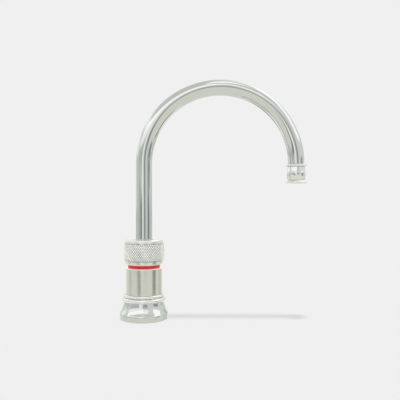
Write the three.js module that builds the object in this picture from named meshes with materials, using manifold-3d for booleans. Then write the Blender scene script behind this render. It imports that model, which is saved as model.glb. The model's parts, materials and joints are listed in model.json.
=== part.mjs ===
// Boiling water tap: a swan-neck spout over a knurled push-and-turn knob, a cylindrical body with
// a red light ring, and a trumpet-shaped foot that a threaded shank pulls down on the worktop.
// Millimetres, +Z up. The origin is the centre of the tap hole on the worktop's upper face, and the
// spout points along +X.
import * as THREE from "three";
import { mergeVertices } from "three/addons/utils/BufferGeometryUtils.js";
import Module from "manifold-3d";

const wasm = await Module();
wasm.setup();

// Driving dimensions
const worktopThickness = 30;
const footRadius = 30;
const bodyRadius = 22.5;
const knobRadius = 25.6;
const knobEndRadius = 24.3;
const tubeRadius = 10.25;
const tubeWall = 1.2;
const bendRadius = 95;
const bendHeight = 193;
const outletHeight = 168;
const knobTravel = 3;
const gap = 0.3;

// Heights of the stacked pieces above the worktop
const footTop = 21.7;
const coreFlange = 27.2;
const collarTop = 30.8;
const coreShoulder = 58.3;
const bodyTop = 62.8;
const lightRingTop = bodyTop + 4.4;
const knobBottom = lightRingTop + gap;
const lowerRimTop = 71.6;
const shellTop = 93.9;
const knobTop = 97.7;

// Sizes shared by pieces that fit in one another
const shankRadius = 16;
const shankBore = 12.5;
const footBore = shankRadius + 1.8;
const coreRadius = 20.1;
const neckRadius = 14.6;
const neckTop = knobTop - knobTravel - 2.1;
const snapGroove = { radius: 13.8, low: 90.8, high: 91.8 };
const socketRadius = 12.7;
const socketFloor = 38;
const lensBore = 16.8;
const carriageRadius = 17.3;
const carriageFlange = { radius: 18.6, low: 74.3, high: 76.4 };
const carriageGroove = { radius: 16.6, low: 88.2, high: 89.2 };
const knobBore = 22.2;
const nutBore = shankRadius + 0.4;
const hoseRadius = 4;
const hoseBore = 2.8;
const hoseWay = hoseRadius + 0.4;

// Facets round a piece: on the large outer ones, on the outlet, and on inner and small ones
const fine = 28;
const outlet = 20;
const medium = 16;
const coarse = 12;

// Finishes
const chrome = { color: 0xd6d7d6, roughness: 0.08, metalness: 1 };
const satin = { color: 0xc9c6bd, roughness: 0.32, metalness: 1 };
const brass = { color: 0xc9a35a, roughness: 0.4, metalness: 1 };
const steel = { color: 0xb4b6b8, roughness: 0.35, metalness: 1 };
const redLens = { color: 0xc63330, roughness: 0.3, metalness: 0 };
const rubber = { color: 0x1d1d1e, roughness: 0.8, metalness: 0 };
const whitePlastic = { color: 0xe9e7df, roughness: 0.5, metalness: 0 };
const blackPlastic = { color: 0x2a2b2d, roughness: 0.55, metalness: 0 };
const boardGreen = { color: 0x1f5a3a, roughness: 0.6, metalness: 0 };
const ptfe = { color: 0xf3f2ee, roughness: 0.4, metalness: 0 };

// ---- Geometry helpers -------------------------------------------------------------------------

// Only the positions, with shared vertices joined and the triangles that collapsed left out.
function weld(geometry) {
  const bare = geometry.clone();
  bare.deleteAttribute("normal");
  bare.deleteAttribute("uv");
  const merged = mergeVertices(bare, 1e-4);
  const index = merged.index.array;
  const kept = [];
  for (let i = 0; i < index.length; i += 3) {
    const [a, b, c] = index.slice(i, i + 3);
    if (a !== b && b !== c && c !== a) kept.push(a, b, c);
  }
  merged.setIndex(kept);
  return merged;
}

function toSolid(geometry) {
  const welded = weld(geometry);
  const mesh = new wasm.Mesh({
    numProp: 3,
    vertProperties: new Float32Array(welded.attributes.position.array),
    triVerts: new Uint32Array(welded.index.array),
  });
  return new wasm.Manifold(mesh);
}

function fromSolid(solid) {
  const mesh = solid.getMesh();
  const geometry = new THREE.BufferGeometry();
  geometry.setAttribute("position", new THREE.BufferAttribute(mesh.vertProperties, 3));
  geometry.setIndex(new THREE.BufferAttribute(mesh.triVerts, 1));
  geometry.computeVertexNormals();
  return geometry;
}

function join(first, ...others) {
  return fromSolid(others.reduce((whole, other) => whole.add(toSolid(other)), toSolid(first)));
}

function cut(first, ...others) {
  return fromSolid(others.reduce((whole, other) => whole.subtract(toSolid(other)), toSolid(first)));
}

function common(first, other) {
  return fromSolid(toSolid(first).intersect(toSolid(other)));
}

// A ring-shaped solid about Z. The outline is a closed list of [radius, height] points.
function revolve(outline, sides) {
  const points = outline.map(([radius, height]) => new THREE.Vector2(radius, height));
  if (THREE.ShapeUtils.area(points) < 0) points.reverse();
  points.push(points[0].clone());
  return weld(new THREE.LatheGeometry(points, sides).rotateX(Math.PI / 2));
}

function ring(inner, outer, low, high, sides) {
  return revolve([[inner, low], [outer, low], [outer, high], [inner, high]], sides);
}

function cylinder(radius, low, high, sides) {
  const length = high - low;
  const geometry = new THREE.CylinderGeometry(radius, radius, length, sides);
  return geometry.rotateX(Math.PI / 2).translate(0, 0, low + length / 2);
}

// Outline points on a circular arc, from one angle to another in degrees, 0 pointing outwards.
function arc(radius, height, bend, from, to, steps) {
  const points = [];
  for (let i = 0; i <= steps; i++) {
    const angle = THREE.MathUtils.degToRad(from + ((to - from) * i) / steps);
    points.push([radius + bend * Math.cos(angle), height + bend * Math.sin(angle)]);
  }
  return points;
}

// Outline points on a curve that leaves the first point towards the middle one.
function sweep(first, middle, last, steps) {
  const curve = new THREE.QuadraticBezierCurve(
    new THREE.Vector2(...first),
    new THREE.Vector2(...middle),
    new THREE.Vector2(...last),
  );
  return curve.getPoints(steps).map((point) => [point.x, point.y]);
}

function circlePoints(radius, sides, x = 0, y = 0) {
  const points = [];
  for (let i = 0; i < sides; i++) {
    const angle = (i / sides) * Math.PI * 2;
    points.push(new THREE.Vector2(x + radius * Math.cos(angle), y + radius * Math.sin(angle)));
  }
  return points;
}

function plate(shape, low, high) {
  const options = { depth: high - low, bevelEnabled: false };
  return new THREE.ExtrudeGeometry(shape, options).translate(0, 0, low);
}

// An open snap ring: a flat C with its mouth towards +X.
function snapRing(inner, outer, low, high) {
  const half = THREE.MathUtils.degToRad(25);
  const steps = 20;
  const points = [];
  for (let i = 0; i <= steps; i++) {
    const angle = half + ((Math.PI - half) * 2 * i) / steps;
    points.push(new THREE.Vector2(outer * Math.cos(angle), outer * Math.sin(angle)));
  }
  for (let i = steps; i >= 0; i--) {
    const angle = half + ((Math.PI - half) * 2 * i) / steps;
    points.push(new THREE.Vector2(inner * Math.cos(angle), inner * Math.sin(angle)));
  }
  return plate(new THREE.Shape(points), low, high);
}

// Straight up from a start height, half a turn over to the outlet side, and straight down.
// Its stations are equal in t, not in length, so each straight end takes a single step.
class SwanNeck extends THREE.Curve {
  constructor(startHeight, endHeight, bendSteps) {
    super();
    this.startHeight = startHeight;
    this.endHeight = endHeight;
    this.steps = bendSteps + 2;
  }
  getPoint(t, target = new THREE.Vector3()) {
    const station = t * this.steps;
    const bend = this.steps - 2;
    if (station <= 1) {
      return target.set(0, 0, THREE.MathUtils.lerp(this.startHeight, bendHeight, station));
    }
    if (station >= bend + 1) {
      const share = station - bend - 1;
      return target.set(bendRadius * 2, 0, THREE.MathUtils.lerp(bendHeight, this.endHeight, share));
    }
    const angle = ((station - 1) / bend) * Math.PI;
    const x = bendRadius * (1 - Math.cos(angle));
    return target.set(x, 0, bendHeight + bendRadius * Math.sin(angle));
  }
  getUtoTmapping(u) {
    return u;
  }
}

function pipe(path, steps, outer, inner, outerSides, innerSides) {
  const section = new THREE.Shape(circlePoints(outer, outerSides));
  if (inner > 0) section.holes.push(new THREE.Path(circlePoints(inner, innerSides)));
  return new THREE.ExtrudeGeometry(section, { steps, extrudePath: path });
}

class Coil extends THREE.Curve {
  constructor(radius, low, high, turns) {
    super();
    this.radius = radius;
    this.low = low;
    this.high = high;
    this.turns = turns;
  }
  getPoint(t, target = new THREE.Vector3()) {
    const angle = t * this.turns * Math.PI * 2;
    const height = THREE.MathUtils.lerp(this.low, this.high, t);
    return target.set(this.radius * Math.cos(angle), this.radius * Math.sin(angle), height);
  }
}

// Joins rings of points, all with the same count, into one closed surface. The last ring is joined
// to the first. slant(row, column) says which way the square's diagonal runs.
function skin(rings, slant) {
  const count = rings[0].length;
  const positions = rings.flat(2);
  const index = [];
  rings.forEach((_, row) => {
    const next = (row + 1) % rings.length;
    for (let column = 0; column < count; column++) {
      const across = (column + 1) % count;
      const a = row * count + column;
      const b = row * count + across;
      const c = next * count + across;
      const d = next * count + column;
      if (slant(row, column)) index.push(a, b, c, a, c, d);
      else index.push(a, b, d, b, c, d);
    }
  });
  const geometry = new THREE.BufferGeometry();
  geometry.setAttribute("position", new THREE.Float32BufferAttribute(positions, 3));
  geometry.setIndex(index);
  geometry.computeVertexNormals();
  return geometry;
}

// ---- Foot, body and light ring ----------------------------------------------------------------

const sealRecess = { radius: 26.8, depth: 1.5 };

// A trumpet on an upright rim, with a recess below for the seal.
function flaredFoot() {
  const rimHeight = 6;
  const waistRadius = 24.7;
  const flare = [26.3, 11.9];
  const edge = 0.7;
  return revolve(
    [
      [sealRecess.radius, 0],
      [footRadius - edge, 0],
      [footRadius, edge],
      ...sweep([footRadius, rimHeight], flare, [waistRadius, footTop], 6),
      [footBore, footTop],
      [footBore, sealRecess.depth],
      [sealRecess.radius, sealRecess.depth],
    ],
    fine,
  );
}

function worktopSeal() {
  return ring(footBore + 0.8, sealRecess.radius - 0.4, 0, sealRecess.depth - gap, fine);
}

// A fat bead, a dark groove and a thin lip that the body stands in.
function collarRing() {
  const low = footTop + gap;
  const seat = coreFlange - gap;
  const bead = 2.4;
  const grooveRadius = 23.4;
  const lip = 1.6;
  return revolve(
    [
      [footBore, low],
      ...arc(24.7, low + bead, bead, -84, 68, 5),
      [grooveRadius, seat + 0.1],
      [grooveRadius, seat + 0.7],
      ...arc(23.6, collarTop - lip, lip, -66, 66, 3),
      [bodyRadius + 0.2, collarTop],
      [coreRadius + gap, collarTop],
      [coreRadius + gap, seat],
      [footBore, seat],
    ],
    fine,
  );
}

function bodySleeve() {
  const inner = coreRadius + gap;
  const low = collarTop + gap;
  const edge = 0.8;
  return revolve(
    [
      [inner, low],
      [bodyRadius, low],
      [bodyRadius, bodyTop - edge],
      [bodyRadius - edge, bodyTop],
      [inner, bodyTop],
    ],
    fine,
  );
}

// The turned core: a spigot over the shank, a flange that pulls the collar and the foot down, and
// a slotted neck that guides the knob outside and holds the spout inside.
function tapCore() {
  const spigotLow = 4;
  const spigotRadius = footBore - gap;
  const shankPocket = coreFlange - 0.2;
  const throat = 9.5;
  const turned = revolve(
    [
      [nutBore, spigotLow],
      [spigotRadius, spigotLow],
      [spigotRadius, coreFlange],
      [coreRadius, coreFlange],
      [coreRadius, coreShoulder],
      [neckRadius, coreShoulder],
      [neckRadius, snapGroove.low],
      [snapGroove.radius, snapGroove.low],
      [snapGroove.radius, snapGroove.high],
      [neckRadius, snapGroove.high],
      [neckRadius, neckTop],
      [socketRadius, neckTop],
      [socketRadius, socketFloor],
      [throat, socketFloor],
      [throat, shankPocket],
      [nutBore, shankPocket],
    ],
    medium,
  );
  const slotWidth = 3;
  const slotHeight = 40;
  const slotFloor = keyTip - gap;
  const slots = keyAngles.map((angle) =>
    new THREE.BoxGeometry(slotWidth, slotWidth, slotHeight)
      .translate(slotFloor + slotWidth / 2, 0, neckTop - 12.6)
      .rotateZ(angle),
  );
  // The lead's way: down from the shoulder and across into the throat.
  const leadRadius = 1.3;
  const leadX = -17.4;
  const leadTurn = 34.5;
  const leadDown = cylinder(leadRadius, leadTurn - 1.5, coreShoulder + 1, 10).translate(leadX, 0, 0);
  const leadAcross = new THREE.CylinderGeometry(leadRadius, leadRadius, 14, 10).rotateZ(Math.PI / 2);
  leadAcross.translate(leadX + 2.9, 0, leadTurn);
  return cut(turned, ...slots, leadDown, leadAcross);
}

// Where the carriage's three keys stand, and how far in they reach
const keyAngles = [0, 1, 2].map((i) => (i / 3 + 1 / 6) * Math.PI * 2);
const keyTip = neckRadius - 0.65;

// A ring-shaped circuit board with six lamps and the chip that feels the knob's magnets.
function ledBoard() {
  const low = coreShoulder + gap;
  const high = low + 1.4;
  const track = 18.2;
  const lamps = [0, 1, 2, 3, 4, 5].map((i) =>
    new THREE.BoxGeometry(1.8, 1.8, 1).translate(track, 0, high + 0.3).rotateZ((i / 6) * Math.PI * 2),
  );
  const chip = new THREE.BoxGeometry(2, 3.4, 1.1).translate(track, 0, high + 0.3).rotateZ(Math.PI / 2);
  return join(ring(lensBore + 0.2, coreRadius - gap, low, high, medium), ...lamps, chip);
}

function indicatorRing() {
  const low = bodyTop - 1.4;
  const outer = 20;
  const edge = 0.5;
  return revolve(
    [
      [lensBore, low],
      [outer, low],
      [outer, lightRingTop - edge],
      [outer - edge, lightRingTop],
      [lensBore, lightRingTop],
    ],
    fine,
  );
}

// ---- Below the worktop ------------------------------------------------------------------------

const shankEnd = -58;

function threadedShank() {
  const high = 26.7;
  const edge = 1;
  return revolve(
    [
      [shankBore, shankEnd],
      [shankRadius - edge, shankEnd],
      [shankRadius, shankEnd + edge],
      [shankRadius, high - edge],
      [shankRadius - edge, high],
      [shankBore, high],
    ],
    medium,
  );
}

// The plug in the shank's lower end, with a hole for the hose and one for the sensor's lead.
function shankGland() {
  const leadRadius = 2.2;
  const leadX = -8.3;
  const outline = (radius) => {
    const shape = new THREE.Shape(circlePoints(radius, medium));
    shape.holes.push(new THREE.Path(circlePoints(hoseWay, coarse)));
    shape.holes.push(new THREE.Path(circlePoints(leadRadius, 10, leadX, 0)));
    return shape;
  };
  return join(
    plate(outline(shankRadius - 0.6), shankEnd - 3, shankEnd - gap),
    plate(outline(shankBore - 0.4), shankEnd - gap, shankEnd + 6),
  );
}

// A hexagonal piece: a turned blank, rounded at both ends, cut to six flats.
function hexagon(bore, acrossFlats, low, high, sides) {
  const corner = acrossFlats / Math.sqrt(3);
  const round = corner - acrossFlats / 2;
  const blank = revolve(
    [
      [bore, low],
      [acrossFlats / 2 - 0.2, low],
      [corner, low + round * 0.6],
      [corner, high - round * 0.6],
      [acrossFlats / 2 - 0.2, high],
      [bore, high],
    ],
    sides,
  );
  return common(blank, cylinder(corner + 0.01, low - 1, high + 1, 6));
}

// ---- Knob -------------------------------------------------------------------------------------

function returnSpring() {
  const wire = 0.6;
  const middle = 15.85;
  const turns = 3.5;
  const clear = gap + wire;
  const coil = new Coil(middle, coreShoulder + clear, carriageFlange.low - clear, turns);
  return pipe(coil, turns * 14, wire, 0, 5, 0);
}

// A sleeve that slides on the core's neck. Three keys in the neck's slots stop it turning, and the
// knob turns on its outside.
function knobCarriage() {
  const inner = neckRadius + gap;
  const top = snapGroove.low - 0.4;
  const sleeve = revolve(
    [
      [inner, carriageFlange.low],
      [carriageFlange.radius, carriageFlange.low],
      [carriageFlange.radius, carriageFlange.high],
      [carriageRadius, carriageFlange.high],
      [carriageRadius, carriageGroove.low],
      [carriageGroove.radius, carriageGroove.low],
      [carriageGroove.radius, carriageGroove.high],
      [carriageRadius, carriageGroove.high],
      [carriageRadius, top],
      [inner, top],
    ],
    medium,
  );
  const keyLength = top - carriageFlange.low - 1.1;
  const keys = keyAngles.map((angle) =>
    new THREE.BoxGeometry(2, 2.4, keyLength)
      .translate(keyTip + 1, 0, (top + carriageFlange.low) / 2)
      .rotateZ(angle),
  );
  return join(sleeve, ...keys);
}

const magnet = { thick: 1, wide: 4, tall: 3, radius: 20.4 };
const linerLow = lowerRimTop + gap;

// The plastic hub inside the knurled shell, with a pocket for a magnet at each side.
function knobLiner() {
  const outer = knobBore - gap;
  const high = carriageGroove.low - 0.2;
  const step = carriageFlange.high + gap;
  const hub = revolve(
    [
      [carriageFlange.radius + gap, linerLow],
      [outer, linerLow],
      [outer, high],
      [carriageRadius + gap, high],
      [carriageRadius + gap, step],
      [carriageFlange.radius + gap, step],
    ],
    fine,
  );
  const pockets = [-1, 1].map((side) =>
    new THREE.BoxGeometry(magnet.thick + 2 * gap, magnet.wide + 2 * gap, 7)
      .translate(side * magnet.radius, 0, linerLow),
  );
  return cut(hub, ...pockets);
}

function knobMagnet(side) {
  const geometry = new THREE.BoxGeometry(magnet.thick, magnet.wide, magnet.tall);
  return geometry.translate(side * magnet.radius, 0, linerLow + magnet.tall / 2);
}

// The knurled barrel. Two crossed sets of V-shaped helical grooves leave a net of diamonds: on each
// row, points at the bottom of a groove crossing alternate with the tips of diamonds, and the rows
// shift by half a pitch.
function knobShell() {
  const diamondsRound = 40;
  const rows = 12;
  const depth = 0.75;
  const low = lowerRimTop + gap;
  const high = shellTop;
  const plain = 0.6;
  const columns = diamondsRound * 2;
  const circle = (radius, height) => knurlRow(columns, () => radius, height);
  const middle = (low + high) / 2;
  const halfKnurl = (high - low) / 2 - plain;
  const barrel = (height) => {
    const share = (height - middle) / halfKnurl;
    return knobRadius - (knobRadius - knobEndRadius) * share * share;
  };
  const rings = [circle(knobBore, high), circle(knobBore, low), circle(knobEndRadius - depth, low)];
  for (let row = 0; row <= rows; row++) {
    const height = middle - halfKnurl + (row / rows) * halfKnurl * 2;
    const isEnd = row === 0 || row === rows;
    const radiusAt = (column) => {
      const isTip = (column + row) % 2 === 1 && !isEnd;
      return barrel(height) - (isTip ? 0 : depth);
    };
    rings.push(knurlRow(columns, radiusAt, height));
  }
  rings.push(circle(knobEndRadius - depth, high));
  return skin(rings, (row, column) => (row - 3 + column) % 2 === 0);
}

function knurlRow(columns, radiusAt, height) {
  return Array.from({ length: columns }, (_, column) => {
    const angle = (column / columns) * Math.PI * 2;
    const radius = radiusAt(column);
    return [radius * Math.cos(angle), radius * Math.sin(angle), height];
  });
}

// The cap has a raised rim, a sunk top and a spigot inside the shell.
function knobTopCap() {
  const rimRadius = 23.7;
  const edge = 0.7;
  const face = knobTop - 0.6;
  const spigotBore = 20.4;
  const shoulder = shellTop + gap;
  return revolve(
    [
      [spigotBore, shellTop - 1.9],
      [knobBore - gap, shellTop - 1.9],
      [knobBore - gap, shoulder],
      [rimRadius - 0.8, shoulder],
      [rimRadius - 0.2, shoulder + 0.8],
      [rimRadius, shoulder + 1.4],
      [rimRadius, knobTop - edge],
      [rimRadius - edge, knobTop],
      [rimRadius - 1.4, knobTop],
      [rimRadius - 2, face],
      [tubeRadius + 0.65, face],
      [tubeRadius + 0.65, wiper.high + gap],
      [wiper.radius + gap, wiper.high + gap],
      [wiper.radius + gap, wiper.low],
      [spigotBore, wiper.low],
    ],
    fine,
  );
}

// A flat ring in the cap, round the spout's riser
const wiper = { radius: 12.1, low: 95.6, high: 96.2 };

function knobWiper() {
  return ring(tubeRadius + 0.35, wiper.radius, wiper.low + 0.1, wiper.high, medium);
}

function knobLowerRim() {
  const outer = 23.3;
  const inner = 20.6;
  const edge = 0.5;
  return revolve(
    [
      [inner, knobBottom],
      [outer - edge, knobBottom],
      [outer, knobBottom + edge],
      [outer, lowerRimTop - 0.7],
      [outer - edge, lowerRimTop],
      [inner, lowerRimTop],
    ],
    fine,
  );
}

// ---- Spout ------------------------------------------------------------------------------------

const clip = { radius: 9.95, low: 43.15, high: 43.85 };

function spoutTube() {
  const low = socketFloor + 3.5;
  const end = bendHeight - 1;
  const path = new SwanNeck(low, end, 24);
  const tube = pipe(path, path.steps, tubeRadius, tubeRadius - tubeWall, 20, 10);
  const groove = ring(clip.radius - 0.25, tubeRadius + 2, clip.low - 0.2, clip.high + 0.2, medium);
  return cut(tube, groove);
}

// The hose that carries the boiling water, inside the tube all the way.
function waterTube() {
  const low = shankEnd - 10;
  const end = outletHeight + 16.3;
  const path = new SwanNeck(low, end, 14);
  return pipe(path, path.steps, hoseRadius, hoseBore, 8, 6);
}

// A plain bearing with an inner groove for an O-ring.
function spoutBush(low, high) {
  const inner = tubeRadius + 0.35;
  const outer = socketRadius - gap;
  const grooveRadius = outer - 0.5;
  const grooveLow = (low + high) / 2 - 1.1;
  const grooveHigh = (low + high) / 2 + 1.1;
  return revolve(
    [
      [inner, low],
      [outer, low],
      [outer, high],
      [inner, high],
      [inner, grooveHigh],
      [grooveRadius, grooveHigh],
      [grooveRadius, grooveLow],
      [inner, grooveLow],
    ],
    medium,
  );
}

function oRing(height) {
  const cord = 0.5;
  return new THREE.TorusGeometry(tubeRadius + 0.45 + cord, cord, 6, medium).translate(0, 0, height);
}

// The fitting under the worktop that the boiler's hose screws on to. Its floor holds the tube's end.
function hoseFitting() {
  const nutLow = shankEnd - 14;
  const tailRadius = 5.6;
  const tailEnd = nutLow - 6;
  const nut = hexagon(hoseWay, 14, nutLow, nutLow + 10, coarse);
  const tail = revolve(
    [
      [hoseBore, tailEnd],
      [tailRadius - 0.6, tailEnd],
      [tailRadius, tailEnd + 0.8],
      [tailRadius, nutLow + 3.6],
      [hoseBore, nutLow + 3.6],
    ],
    coarse,
  );
  return join(nut, tail);
}

// ---- Nozzle, on its own axis, with height 0 at the outlet ---------------------------------------

const nozzleBore = 8.9;
const spigot = { radius: 9.5, bore: 8.6, high: 7.6 };

function nozzleAdapter() {
  const outer = nozzleBore - 0.6;
  const low = 13.5;
  const floor = 16;
  const high = 27;
  return revolve(
    [
      [3, low],
      [outer, low],
      [outer, high],
      [hoseWay, high],
      [hoseWay, floor],
      [3, floor],
    ],
    coarse,
  );
}

// A thin flange with a sloped top that the spout's end stands on.
function nozzleCollar() {
  const low = 20.8;
  const flange = 12.9;
  const edge = 0.3;
  const step = tubeRadius + 0.35;
  return revolve(
    [
      [nozzleBore, low],
      [flange - edge, low],
      [flange, low + edge],
      [flange, low + 1.7],
      [flange - edge, low + 2],
      [step, low + 2.6],
      [step, low + 2.9],
      [nozzleBore, low + 2.9],
    ],
    outlet,
  );
}

// A bell: a straight waist, a rounded shoulder and a belly that tucks in again above the rim.
function nozzleBell() {
  const low = 4;
  const high = 20.5;
  const waist = 10.7;
  const socket = spigot.radius + 0.4;
  const shelfBore = 7.5;
  const shelfLow = spigot.high + 0.6;
  const shelfHigh = shelfLow + 1.8;
  return revolve(
    [
      [socket, low],
      [11.1, low],
      ...sweep([11.4, low + 0.5], [12.8, 9.4], [11.9, 12.8], 5),
      ...sweep([11.7, 13.5], [11.5, 14.1], [waist, 14.4], 2),
      [waist, high],
      [nozzleBore, high],
      [nozzleBore, shelfHigh],
      [shelfBore, shelfHigh],
      [shelfBore, shelfLow],
      [socket, shelfLow],
    ],
    outlet,
  );
}

// The ring at the mouth, with a spigot that screws into the bell and a lip that holds the disc.
function nozzleRim() {
  const outer = 13.2;
  const thick = 1.9;
  const edge = 0.4;
  const lip = { bore: 7.7, high: 0.9 };
  return revolve(
    [
      [lip.bore, 0],
      [outer - edge, 0],
      [outer, edge],
      [outer, thick - edge],
      [outer - edge, thick],
      [11, thick + 0.2],
      [11.4, 3.7],
      [spigot.radius, 3.7],
      [spigot.radius, spigot.high],
      [spigot.bore, spigot.high],
      [spigot.bore, lip.high],
      [lip.bore, lip.high],
    ],
    outlet,
  );
}

// A disc of hexagonal cells that makes the stream run straight.
function flowStraightener() {
  const cell = 1.45;
  const pitch = 3.2;
  const rings = 2;
  const disc = new THREE.Shape(circlePoints(spigot.bore - 0.35, outlet));
  for (let row = -rings; row <= rings; row++) {
    const inRow = rings * 2 + 1 - Math.abs(row);
    for (let i = 0; i < inRow; i++) {
      const x = (i - (inRow - 1) / 2) * pitch;
      const y = (row * pitch * Math.sqrt(3)) / 2;
      disc.holes.push(new THREE.Path(circlePoints(cell, 6, x, y)));
    }
  }
  return plate(disc, 1.2, 5.5);
}

// ---- Assembly ---------------------------------------------------------------------------------

function piece(name, geometry, finish) {
  const mesh = new THREE.Mesh(geometry, new THREE.MeshStandardMaterial(finish));
  mesh.name = name;
  return mesh;
}

const clampTop = -worktopThickness;
const clampRadius = 28;
const washerTop = clampTop - 3 - gap;
const nutTop = washerTop - 2 - gap;
const snapRingLow = snapGroove.low + 0.15;
const knobClipLow = carriageGroove.low + 0.15;

const base = new THREE.Group().add(
  piece("worktop_seal", worktopSeal(), rubber),
  piece("flared_foot", flaredFoot(), chrome),
  piece("collar_ring", collarRing(), chrome),
  piece("body_sleeve", bodySleeve(), satin),
  piece("tap_core", tapCore(), brass),
  piece("led_board", ledBoard(), boardGreen),
  piece("indicator_ring", indicatorRing(), redLens),
  piece("neck_snap_ring", snapRing(14.1, 16.4, snapRingLow, snapRingLow + 0.7), steel),
  piece("lower_bush", spoutBush(46, 54), whitePlastic),
  piece("upper_bush", spoutBush(82, 92), whitePlastic),
  piece("lower_o_ring", oRing(50), rubber),
  piece("upper_o_ring", oRing(87), rubber),
  piece("threaded_shank", threadedShank(), steel),
  piece("shank_gland", shankGland(), blackPlastic),
  piece("clamp_seal", ring(nutBore, clampRadius, clampTop - 3, clampTop, medium), rubber),
  piece("clamp_washer", ring(nutBore, clampRadius, washerTop - 2, washerTop, medium), steel),
  piece("backnut", hexagon(nutBore, 46, nutTop - 10, nutTop, 24), brass),
);

const carriage = new THREE.Group().add(
  piece("knob_carriage", knobCarriage(), whitePlastic),
  piece("knob_clip", snapRing(16.9, 19.4, knobClipLow, knobClipLow + 0.7), steel),
  piece("return_spring", returnSpring(), steel),
);

const knob = new THREE.Group().add(
  piece("knob_shell", knobShell(), chrome),
  piece("knob_top_cap", knobTopCap(), chrome),
  piece("knob_lower_rim", knobLowerRim(), chrome),
  piece("knob_liner", knobLiner(), blackPlastic),
  piece("knob_wiper", knobWiper(), rubber),
  piece("magnet_left", knobMagnet(-1), steel),
  piece("magnet_right", knobMagnet(1), steel),
);

const nozzle = new THREE.Group().add(
  piece("nozzle_adapter", nozzleAdapter(), brass),
  piece("nozzle_collar", nozzleCollar(), chrome),
  piece("nozzle_bell", nozzleBell(), chrome),
  piece("nozzle_rim", nozzleRim(), chrome),
  piece("nozzle_seal", ring(4.6, nozzleBore - 0.4, 10.3, 13.2, coarse), rubber),
  piece("flow_straightener", flowStraightener(), whitePlastic),
);
nozzle.position.set(bendRadius * 2, 0, outletHeight);

const spout = new THREE.Group().add(
  piece("spout_tube", spoutTube(), chrome),
  piece("water_tube", waterTube(), ptfe),
  piece("spout_clip", snapRing(clip.radius, 12.1, clip.low, clip.high), steel),
  piece("hose_fitting", hoseFitting(), brass),
  nozzle,
);

const tap = new THREE.Group().add(base, carriage, knob, spout);

export default tap;
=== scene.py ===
# A boiling water tap: a chromed swan neck over a knurled knob, a red light ring, a satin body and a
# flared foot, with the threaded shank and its nut below the worktop. Everything is built round the
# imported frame, which is in metres. The pieces' dictionaries are in millimetres and degrees, and the
# finishes' spacings and depths are in metres.
import json
import math

import bmesh
import bpy
from mathutils import Matrix, Vector


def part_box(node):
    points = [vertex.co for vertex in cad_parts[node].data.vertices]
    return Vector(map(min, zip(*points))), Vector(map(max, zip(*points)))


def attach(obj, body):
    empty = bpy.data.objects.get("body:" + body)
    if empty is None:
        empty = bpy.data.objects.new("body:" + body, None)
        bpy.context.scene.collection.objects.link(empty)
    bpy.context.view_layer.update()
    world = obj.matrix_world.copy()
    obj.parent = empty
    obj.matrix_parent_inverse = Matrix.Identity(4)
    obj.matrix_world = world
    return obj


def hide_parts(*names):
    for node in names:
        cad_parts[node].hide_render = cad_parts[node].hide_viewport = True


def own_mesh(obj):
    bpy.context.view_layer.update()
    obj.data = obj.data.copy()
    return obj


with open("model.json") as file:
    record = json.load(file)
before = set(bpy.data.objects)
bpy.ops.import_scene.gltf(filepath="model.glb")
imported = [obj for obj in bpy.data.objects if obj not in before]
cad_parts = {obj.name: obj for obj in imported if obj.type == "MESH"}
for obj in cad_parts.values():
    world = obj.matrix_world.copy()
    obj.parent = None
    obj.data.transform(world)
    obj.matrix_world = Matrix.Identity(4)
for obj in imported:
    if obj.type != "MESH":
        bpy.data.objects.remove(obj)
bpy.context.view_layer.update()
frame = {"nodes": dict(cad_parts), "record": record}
record = frame["record"]
bodyOf = {node: body for body, nodes in record["behaviour"]["bodies"].items() for node in nodes}
slotOf = {part["node"]: part["material_slot"] for part in record["subparts"]}
mm = 0.001
weld = 1e-6  # corners nearer to each other than this, in metres, are one
wideSides, narrowSides = 160, 96  # round the foot, body and knob, and round smaller pieces
print("frame loaded:", len(frame["nodes"]), "nodes")


# ---- Places in the frame ----

def place(node):
    low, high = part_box(node)
    low, high = low / mm, high / mm
    return {"low": low.z, "high": high.z, "radius": (high.x - low.x) / 2, "x": (low.x + high.x) / 2}


spoutX = place("nozzle_rim")["x"]
outletHeight = place("nozzle_rim")["low"]
bodyTop = place("body_sleeve")["high"]
ringTop = place("indicator_ring")["high"]


# ---- Shader helpers ----

def setInput(tree, socket, value):
    if isinstance(value, bpy.types.NodeSocket):
        tree.links.new(value, socket)
    elif isinstance(value, (tuple, list)) and len(value) == 3 and len(socket.default_value) == 4:
        socket.default_value = (*value, 1.0)
    else:
        socket.default_value = value


def calc(tree, operation, *values):
    node = tree.nodes.new("ShaderNodeMath")
    node.operation = operation
    for socket, value in zip(node.inputs, values):
        setInput(tree, socket, value)
    return node.outputs[0]


def ramp(tree, value, fromLow, fromHigh, toLow=0.0, toHigh=1.0, smooth=False):
    node = tree.nodes.new("ShaderNodeMapRange")
    node.interpolation_type = "SMOOTHSTEP" if smooth else "LINEAR"
    setInput(tree, node.inputs["Value"], value)
    setInput(tree, node.inputs["From Min"], fromLow)
    setInput(tree, node.inputs["From Max"], fromHigh)
    setInput(tree, node.inputs["To Min"], toLow)
    setInput(tree, node.inputs["To Max"], toHigh)
    return node.outputs["Result"]


def mixColour(tree, factor, first, second, blend="MIX"):
    node = tree.nodes.new("ShaderNodeMix")
    node.data_type = "RGBA"
    node.blend_type = blend
    setInput(tree, node.inputs[0], factor)
    setInput(tree, node.inputs[6], first)
    setInput(tree, node.inputs[7], second)
    return node.outputs[2]


def shaded(tree, colour, mask, amount):
    # the colour where the mask is 1, and darker by the amount where it is 0
    shade = ramp(tree, mask, 0.0, 1.0, 1 - amount, 1.0)
    grey = tree.nodes.new("ShaderNodeCombineColor")
    for socket in grey.inputs[:3]:
        tree.links.new(shade, socket)
    return mixColour(tree, 1.0, colour, grey.outputs[0], "MULTIPLY")


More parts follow.
